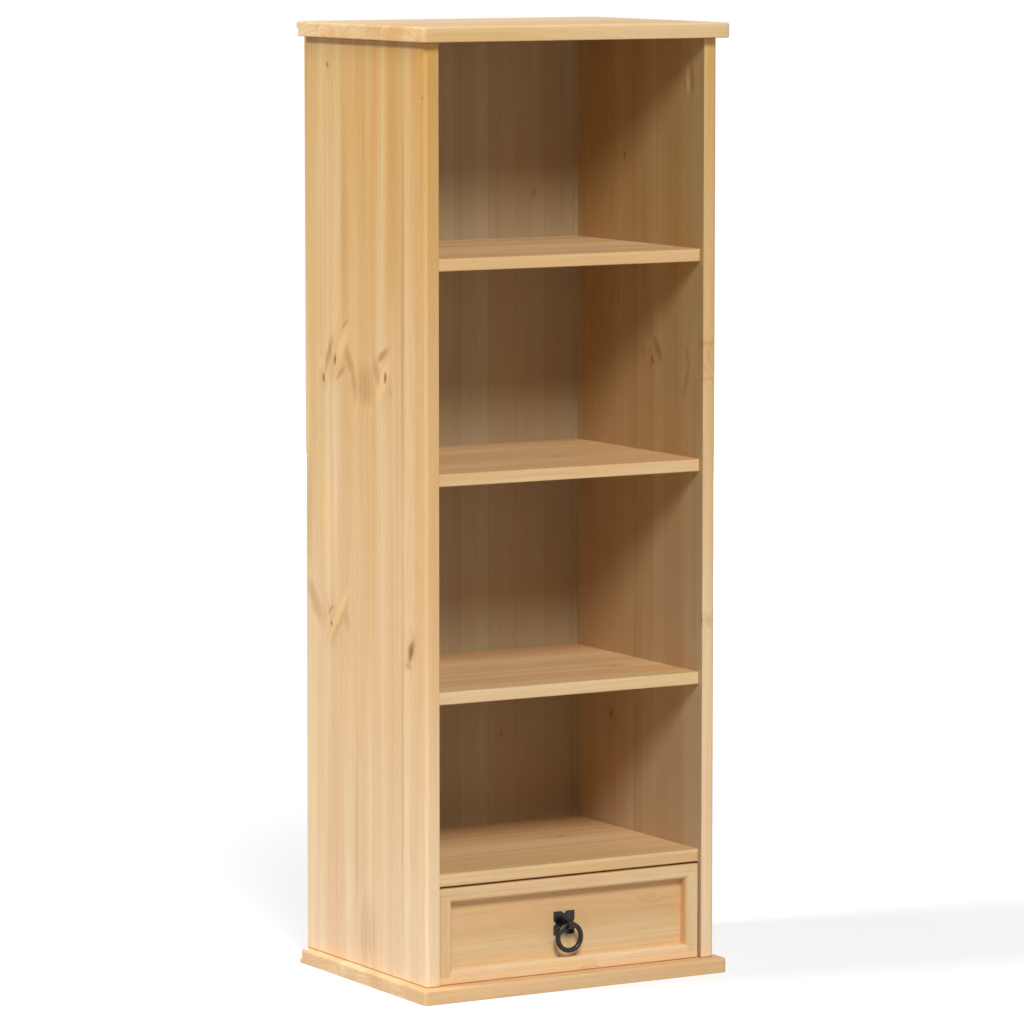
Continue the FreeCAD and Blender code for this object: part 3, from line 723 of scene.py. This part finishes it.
dowel_sets = {"shelf_dowels": "X", "top_dowels": "Z", "base_dowels": "Z"}
for name, along in dowel_sets.items():
    beech_finish(name, along)
print("beech on", len(dowel_sets), "sets of dowels")

# %% [markdown]
# ## Black ironmongery
#
# The ring pull is cast iron with a half-gloss black finish. A flat black would swallow its
# shape, so the finish has the slight unevenness of a casting, and patches of it are a little
# smoother and paler, as if rubbed by fingers.

# %% Black iron
IRON_BLACK = shade(20, 16, 16)
IRON_RUBBED = shade(44, 38, 36)


def iron_finish():
    material, tree, shader = new_material("black_iron")
    position = object_position(tree)
    cast = even_noise(tree, position, 420.0, 3.0)
    rubbed = remap(tree, even_noise(tree, position, 130.0), 0.5, 0.72)
    grain = even_noise(tree, position, 2400.0, 1.0)
    cast_rough = calc(tree, "MULTIPLY_ADD", cast, 0.12, 0.18)
    height = calc(tree, "MULTIPLY_ADD", grain, 0.12, cast)
    bump = add(tree, "ShaderNodeBump", {"Strength": 0.35, "Distance": 0.0004, "Height": height})
    feed(tree, shader, {
        "Base Color": blend(tree, rubbed, IRON_BLACK, IRON_RUBBED),
        "Roughness": calc(tree, "MULTIPLY_ADD", rubbed, -0.06, cast_rough),
        "Normal": bump.outputs[0],
        "Metallic": 0.2,
        "Specular IOR Level": 0.5,
    })
    return material


black_iron = iron_finish()
for name in ("pull_plate", "pull_eye", "pull_ring"):
    wear(name, black_iron)
print("black iron on the plate, the eye and the ring")

# %% [markdown]
# ## Bright steel
#
# Zinc plating dries in small crystal patches, each a slightly different grey. A Voronoi
# pattern gives such patches, and a fine noise takes the mirror off the metal.

# %% Zinc-plated steel
ZINC_DARK = shade(186, 187, 190)
ZINC_PALE = shade(206, 206, 204)
PATCHES_PER_METRE = 900.0


def steel_finish():
    material, tree, shader = new_material("zinc_steel")
    position = object_position(tree)
    inputs = {"Vector": position, "Scale": PATCHES_PER_METRE}
    patch = add(tree, "ShaderNodeTexVoronoi", inputs).outputs["Color"]
    patch = add(tree, "ShaderNodeSeparateColor", {0: patch}).outputs[0]
    fine = even_noise(tree, position, 3000.0, 1.0)
    patch_rough = calc(tree, "MULTIPLY_ADD", patch, 0.1, 0.26)
    bump = add(tree, "ShaderNodeBump", {"Strength": 0.15, "Distance": 0.0001, "Height": fine})
    feed(tree, shader, {
        "Base Color": blend(tree, patch, ZINC_DARK, ZINC_PALE),
        "Roughness": calc(tree, "MULTIPLY_ADD", fine, 0.14, patch_rough),
        "Normal": bump.outputs[0],
        "Metallic": 1.0,
    })
    return material


zinc_steel = steel_finish()
for name in ("pull_washer", "pull_nut"):
    wear(name, zinc_steel)
print("zinc steel on the washer and the nut")

# %% [markdown]
# ## Nails, pins and screws
#
# The back is nailed on with 28 small nails, the drawer box is pinned, and four screws come up
# through the base. Copying one nail 28 times by hand would fix its size for good. Geometry
# Nodes make one nail from a few named sizes and set it on points that only say where a head is
# and which way it looks. The same tree then makes the headless pins from other sizes.
#
# A nail is a turned shape, so it is stacked from cones: tip, shank, flare, rim and a low dome.
# Rings that meet are merged, which closes the shape. The places are worked out from the boxes
# of the boards: the panel's nails sit in the middle of the rebate that it lies in.

# %% A tree with named sizes
MERGE_DISTANCE = 0.000002


def new_tree(name, sizes):
    """A Geometry Nodes tree that takes points and sizes and gives back fasteners."""
    tree = bpy.data.node_groups.new(name, "GeometryNodeTree")
    tree.interface.new_socket("Points", in_out="INPUT", socket_type="NodeSocketGeometry")
    for size in sizes:
        tree.interface.new_socket(size, in_out="INPUT", socket_type="NodeSocketFloat")
    tree.interface.new_socket("Fasteners", in_out="OUTPUT", socket_type="NodeSocketGeometry")
    return tree, tree.nodes.new("NodeGroupInput").outputs


def at_height(tree, geometry, height):
    """The geometry, lifted along its own axis."""
    lift = add(tree, "ShaderNodeCombineXYZ", {2: height}).outputs[0]
    inputs = {"Geometry": geometry, "Translation": lift}
    return add(tree, "GeometryNodeTransform", inputs).outputs[0]


def turned(tree, outline, sides):
    """A closed turned shape. The outline lists (height, radius) from one end to the other."""
    stack = add(tree, "GeometryNodeJoinGeometry")
    for (low, low_radius), (high, high_radius) in zip(outline, outline[1:]):
        inputs = {
            "Vertices": sides,
            "Radius Bottom": low_radius,
            "Radius Top": high_radius,
            "Depth": calc(tree, "SUBTRACT", high, low),
        }
        cone = add(tree, "GeometryNodeMeshCone", inputs, fill_type="NONE").outputs["Mesh"]
        tree.links.new(at_height(tree, cone, low), stack.inputs[0])
    inputs = {"Geometry": stack.outputs[0], "Distance": MERGE_DISTANCE}
    return add(tree, "GeometryNodeMergeByDistance", inputs).outputs[0]


def set_on_points(tree, points, shape, material):
    """One copy of the shape on each point, turned to look outwards, as a plain mesh."""
    kind = "GeometryNodeInputNamedAttribute"
    way = add(tree, kind, {"Name": "outwards"}, data_type="FLOAT_VECTOR").outputs[0]
    turn = add(tree, "FunctionNodeAlignRotationToVector", {"Vector": way}, axis="Z").outputs[0]
    inputs = {"Points": points, "Instance": shape, "Rotation": turn}
    placed = add(tree, "GeometryNodeInstanceOnPoints", inputs).outputs[0]
    real = add(tree, "GeometryNodeRealizeInstances", {0: placed}).outputs[0]
    inputs = {"Geometry": real, "Material": material}
    finished = add(tree, "GeometryNodeSetMaterial", inputs).outputs[0]
    tree.links.new(finished, add(tree, "NodeGroupOutput").inputs[0])


print("rings nearer than", MERGE_DISTANCE, "m are merged")

# %% From points to a plain mesh
SHARP_ANGLE = math.radians(35)


def put_in_scene(name, data):
    """A new object with this data, linked into the scene."""
    made = bpy.data.objects.new(name, data)
    bpy.context.scene.collection.objects.link(made)
    return made


def grow(piece_name, tree, heads, sizes, body, node_name):
    """Runs a tree on the heads, each a place and the way it looks, and keeps the mesh."""
    points = bpy.data.meshes.new(piece_name + "_points")
    points.from_pydata([place for place, way in heads], [], [])
    ways = points.attributes.new("outwards", "FLOAT_VECTOR", "POINT")
    for item, (place, way) in zip(ways.data, heads):
        item.vector = way
    carrier = put_in_scene(piece_name + "_points", points)
    modifier = carrier.modifiers.new("grow", "NODES")
    modifier.node_group = tree
    for socket in tree.interface.items_tree:
        if socket.name in sizes:
            modifier[socket.identifier] = sizes[socket.name]
    grown = carrier.evaluated_get(bpy.context.evaluated_depsgraph_get())
    mesh = bpy.data.meshes.new_from_object(grown)
    carrier.modifiers.remove(modifier)
    bpy.data.objects.remove(carrier)
    mesh.shade_smooth()
    mesh.set_sharp_from_angle(angle=SHARP_ANGLE)
    piece = put_in_scene(piece_name, mesh)
    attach(piece, body)
    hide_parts(node_name)
    print(piece_name, len(heads), "pieces,", len(mesh.polygons), "faces")


# %% The nail tree
NAIL_SIDES = 20
nail_tree, given = new_tree(
    "driven_nails", ("Shank Radius", "Head Radius", "Head Height", "Length", "Tip Length")
)
tip = calc(nail_tree, "MULTIPLY", given["Length"], -1.0)
shank_start = calc(nail_tree, "ADD", tip, given["Tip Length"])
flare = calc(nail_tree, "MULTIPLY", given["Head Height"], -1.0)
rim_low = calc(nail_tree, "MULTIPLY", flare, 0.7)
rim_high = calc(nail_tree, "MULTIPLY", flare, 0.2)
dome = calc(nail_tree, "MULTIPLY", flare, 0.06)
dome_radius = calc(nail_tree, "MULTIPLY", given["Head Radius"], 0.86)
nail_outline = [
    (tip, 0.0),
    (shank_start, given["Shank Radius"]),
    (flare, given["Shank Radius"]),
    (rim_low, given["Head Radius"]),
    (rim_high, given["Head Radius"]),
    (dome, dome_radius),
    (0.0, 0.0),
]
nail_shape = turned(nail_tree, nail_outline, NAIL_SIDES)
set_on_points(nail_tree, given["Points"], nail_shape, zinc_steel)
print("nail tree:", len(nail_tree.nodes), "nodes")

# %% Back nails
NAILS_PER_SIDE = 7        # into each side board
NAIL_END_INSET = 0.060    # first and last nail from the ends of a side board
SHELF_NAIL_X = 0.090      # two into each shelf
END_NAIL_X = 0.120        # three into the base and three into the top
PANEL_GAP = 0.0005        # from the edge of the back panel to the end of its rebate
panel_low, panel_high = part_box("back_panel")
side_low, side_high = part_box("side_panel_right")
side_nail_x = (side_low.x + panel_high.x + PANEL_GAP) / 2
base_nail_z = (side_low.z + panel_low.z - PANEL_GAP) / 2
top_nail_z = (side_high.z + panel_high.z + PANEL_GAP) / 2
lowest = side_low.z + NAIL_END_INSET
highest = side_high.z - NAIL_END_INSET
nail_spots = []
for side in (-1, 1):
    for i in range(NAILS_PER_SIDE):
        height = lowest + (highest - lowest) * i / (NAILS_PER_SIDE - 1)
        nail_spots.append((side * side_nail_x, height))
    for shelf in shelf_knots:
        nail_spots.append((side * SHELF_NAIL_X, middle_of(shelf).z))
for x in (-END_NAIL_X, 0.0, END_NAIL_X):
    nail_spots.append((x, base_nail_z))
    nail_spots.append((x, top_nail_z))

nail_sizes = {
    "Shank Radius": 0.0008,
    "Head Radius": 0.0018,
    "Head Height": 0.0008,
    "Length": 0.020,
    "Tip Length": 0.002,
}
nail_heads = [((x, panel_high.y, z), (0, 1, 0)) for x, z in nail_spots]
grow("back_nails", nail_tree, nail_heads, nail_sizes, "cabinet", "back_panel_nails")

# %% Drawer pins
PIN_SINK = 0.0005         # the end of a pin, under the face of the drawer side
PIN_INSET = 0.022         # from the upper and the lower edge of a drawer side
BOTTOM_PIN_X = 0.110
wall_low, wall_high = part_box("drawer_side_right")
front_board_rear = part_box("drawer_front_board")[1].y
lap_y = (wall_low.y + front_board_rear) / 2
drawer_back_y = middle_of("drawer_back").y
pin_heights = (wall_low.z + PIN_INSET, (wall_low.z + wall_high.z) / 2, wall_high.z - PIN_INSET)
corner_pin_sizes = {**nail_sizes, "Head Radius": nail_sizes["Shank Radius"], "Length": 0.025}
corner_pin_heads = [
    ((side * (wall_high.x - PIN_SINK), y, z), (side, 0, 0))
    for side in (-1, 1)
    for y in (lap_y, drawer_back_y)
    for z in pin_heights
]
grow(
    "corner_pins", nail_tree, corner_pin_heads, corner_pin_sizes, "drawer", "drawer_corner_pins"
)

bottom_pin_sizes = {**nail_sizes, "Head Radius": nail_sizes["Shank Radius"]}
bottom_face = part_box("drawer_bottom")[0].z
bottom_pin_heads = [
    ((x, drawer_back_y, bottom_face), (0, 0, -1)) for x in (-BOTTOM_PIN_X, 0.0, BOTTOM_PIN_X)
]
grow(
    "bottom_pins", nail_tree, bottom_pin_heads, bottom_pin_sizes, "drawer", "drawer_bottom_pins"
)

# %% [markdown]
# ## The screw tree
#
# A wood screw has a cone under its head, a smooth neck, a thinner core and a thread. The
# thread is a small round profile swept along a spiral, once round the core and once closing in
# towards the tip. Two crossed bars are cut out of the head for the driver. Each screw comes up
# half way between two of the dowels that join a side board to the base.

# %% Shape of the screw
SCREW_SIDES = 32
NECK_SLOPE = 0.0006      # the core widens to the neck over this length
RIM_LOW = -0.00015       # the flat rim of the head, between its cone and its face
RIM_HIGH = -0.00002
screw_tree, given = new_tree(
    "base_screws",
    (
        "Head Radius", "Neck Radius", "Core Radius", "Length", "Tip Length", "Neck Length",
        "Pitch",
    ),
)
tip = calc(screw_tree, "MULTIPLY", given["Length"], -1.0)
core_start = calc(screw_tree, "ADD", tip, given["Tip Length"])
cone_height = calc(screw_tree, "SUBTRACT", given["Neck Radius"], given["Head Radius"])
neck_start = calc(screw_tree, "MULTIPLY", given["Neck Length"], -1.0)
screw_outline = [
    (tip, 0.0),
    (core_start, given["Core Radius"]),
    (neck_start, given["Core Radius"]),
    (calc(screw_tree, "ADD", neck_start, NECK_SLOPE), given["Neck Radius"]),
    (cone_height, given["Neck Radius"]),
    (RIM_LOW, given["Head Radius"]),
    (RIM_HIGH, given["Head Radius"]),
    (0.0, 0.0),
]
screw_shape = turned(screw_tree, screw_outline, SCREW_SIDES)
print("screw outline:", len(screw_outline), "points")

# %% Recess for the driver
DRIVE_SPAN = 0.0044
DRIVE_SLOT = 0.001
DRIVE_DEPTH = 0.0032     # the bars stand half out of the head
drive_bars = ((DRIVE_SPAN, DRIVE_SLOT, DRIVE_DEPTH), (DRIVE_SLOT, DRIVE_SPAN, DRIVE_DEPTH))
for bar in drive_bars:
    cutter = add(screw_tree, "GeometryNodeMeshCube", {"Size": bar}).outputs["Mesh"]
    inputs = {"Mesh 1": screw_shape}
    cut = add(screw_tree, "GeometryNodeMeshBoolean", inputs, operation="DIFFERENCE")
    screw_tree.links.new(cutter, cut.inputs["Mesh 2"])
    screw_shape = cut.outputs["Mesh"]
print("recess cut by", len(drive_bars), "bars")

# %% Thread
THREAD_RADIUS = 0.0004
THREAD_SIDES = 6
STEPS_PER_TURN = 14
TIP_THREAD_RADIUS = 0.0003
inputs = {"Resolution": THREAD_SIDES, "Radius": THREAD_RADIUS}
profile = add(screw_tree, "GeometryNodeCurvePrimitiveCircle", inputs).outputs["Curve"]
whole_screw = add(screw_tree, "GeometryNodeJoinGeometry")
screw_tree.links.new(screw_shape, whole_screw.inputs[0])
for start, end, start_radius in (
    (core_start, neck_start, given["Core Radius"]),
    (tip, core_start, TIP_THREAD_RADIUS),
):
    height = calc(screw_tree, "SUBTRACT", end, start)
    inputs = {
        "Resolution": STEPS_PER_TURN,
        "Rotations": calc(screw_tree, "DIVIDE", height, given["Pitch"]),
        "Start Radius": start_radius,
        "End Radius": given["Core Radius"],
        "Height": height,
    }
    spiral = add(screw_tree, "GeometryNodeCurveSpiral", inputs).outputs[0]
    inputs = {"Curve": spiral, "Profile Curve": profile, "Fill Caps": True}
    thread = add(screw_tree, "GeometryNodeCurveToMesh", inputs).outputs[0]
    screw_tree.links.new(at_height(screw_tree, thread, start), whole_screw.inputs[0])
set_on_points(screw_tree, given["Points"], whole_screw.outputs[0], zinc_steel)
print("screw tree:", len(screw_tree.nodes), "nodes")

# %% Base screws
HEAD_SINK = 0.0005
DOWEL_INSET = 0.045       # first and last dowel, from the front and the rear of a side board
screw_sizes = {
    "Head Radius": 0.004,
    "Neck Radius": 0.002,
    "Core Radius": 0.0015,
    "Length": 0.045,
    "Tip Length": 0.006,
    "Neck Length": 0.017,
    "Pitch": 0.0018,
}
side_middle = middle_of("side_panel_right")
dowel_spacing = (side_high.y - side_low.y) / 2 - DOWEL_INSET
screw_heads = [
    ((side * side_middle.x, side_middle.y + way * dowel_spacing / 2, HEAD_SINK), (0, 0, -1))
    for side in (-1, 1)
    for way in (-1, 1)
]
grow("case_screws", screw_tree, screw_heads, screw_sizes, "cabinet", "base_screws")

# %% [markdown]
# ## Floor, light and camera
#
# The cabinet stands on a plain white floor. A large soft lamp high in front and a smaller one
# high on the left model it. One low in front and one low behind keep its shadows open. The sky
# and the floor look white to the camera, so the floor melts into the background, but they shed
# little of that white on the cabinet, and the floor still takes its shadow. An all-white world
# would be simpler, but it would wash out the shading that shows the shape.

# %% Floor
FLOOR_SIZE = 14.0
FLOOR_GREY = 0.5
NEAR_GLOW = 0.63         # the floor's own glow under the cabinet
GLOW_START = 0.5         # it rises from here, in metres from the middle of the floor
GLOW_END = 2.4           # to here, where the floor is as white as the sky
half = FLOOR_SIZE / 2
floor_corners = [(-half, -half, 0), (half, -half, 0), (half, half, 0), (-half, half, 0)]
floor_mesh = bpy.data.meshes.new("studio_floor")
floor_mesh.from_pydata(floor_corners, [], [(0, 1, 2, 3)])
floor = put_in_scene("studio_floor", floor_mesh)


def seen_directly(tree):
    """1 for rays from the camera, and for what shows in gloss or through glass."""
    rays = add(tree, "ShaderNodeLightPath").outputs
    total = calc(tree, "ADD", rays["Is Camera Ray"], rays["Is Glossy Ray"])
    return calc(tree, "MINIMUM", calc(tree, "ADD", total, rays["Is Transmission Ray"]), 1.0)


floor_paint, tree, shader = new_material("floor_white")
from_cabinet = vector_calc(tree, "LENGTH", object_position(tree))
rising = remap(tree, from_cabinet, GLOW_START, GLOW_END, NEAR_GLOW, 1.0)
feed(tree, shader, {
    "Base Color": (FLOOR_GREY, FLOOR_GREY, FLOOR_GREY, 1.0),
    "Roughness": 0.9,
    "Specular IOR Level": 0.0,
    "Emission Color": (1.0, 1.0, 1.0, 1.0),
    "Emission Strength": calc(tree, "MULTIPLY", seen_directly(tree), rising),
})
floor_mesh.materials.append(floor_paint)
print("floor", FLOOR_SIZE, "m across")

# %% Sky
SKY_LEVEL = 0.1
world = bpy.data.worlds.new("white_sky")
bpy.context.scene.world = world
world.use_nodes = True
tree = world.node_tree
level = calc(tree, "MULTIPLY_ADD", seen_directly(tree), 1.0 - SKY_LEVEL, SKY_LEVEL)
feed(tree, tree.nodes["Background"], {"Color": (1.0, 1.0, 1.0, 1.0), "Strength": level})
print("sky level", SKY_LEVEL)

# %% Lamps
MIDDLE = Vector((0.0, 0.0, 0.6))


def soft_lamp(name, place, width, watts):
    """A round lamp that looks at the middle of the cabinet."""
    lamp = bpy.data.lights.new(name, "AREA")
    lamp.shape = "DISK"
    lamp.size = width
    lamp.energy = watts
    made = put_in_scene(name, lamp)
    made.location = place
    made.rotation_euler = (MIDDLE - Vector(place)).to_track_quat("-Z", "Y").to_euler()


soft_lamp("key_lamp", (-2.2, -6.6, 6.0), 2.8, 530.0)
soft_lamp("side_lamp", (-4.4, 0.8, 4.6), 1.3, 218.0)
soft_lamp("fill_lamp", (1.6, -5.4, 1.4), 2.0, 15.0)
soft_lamp("back_lamp", (2.6, 5.6, 0.55), 1.0, 110.0)

# %% Camera
LENS = 200.05                # millimetres, on a sensor 36 mm wide
SENSOR_WIDTH = 36.0
SEES_AS_FAR_AS = 100.0
LOOKS_DOWN = math.radians(6.434)
LOOKS_RIGHT = math.radians(30.02)
camera_data = bpy.data.cameras.new("camera")
camera_data.lens = LENS
camera_data.sensor_width = SENSOR_WIDTH
camera_data.clip_end = SEES_AS_FAR_AS
camera = put_in_scene("camera", camera_data)
camera.location = (-3.42166, -5.91984, 1.33023)
camera.rotation_euler = (math.pi / 2 - LOOKS_DOWN, 0.0, -LOOKS_RIGHT)
bpy.context.scene.camera = camera
bpy.context.scene.view_settings.view_transform = "Standard"
print("camera at", [round(v, 3) for v in camera.location])
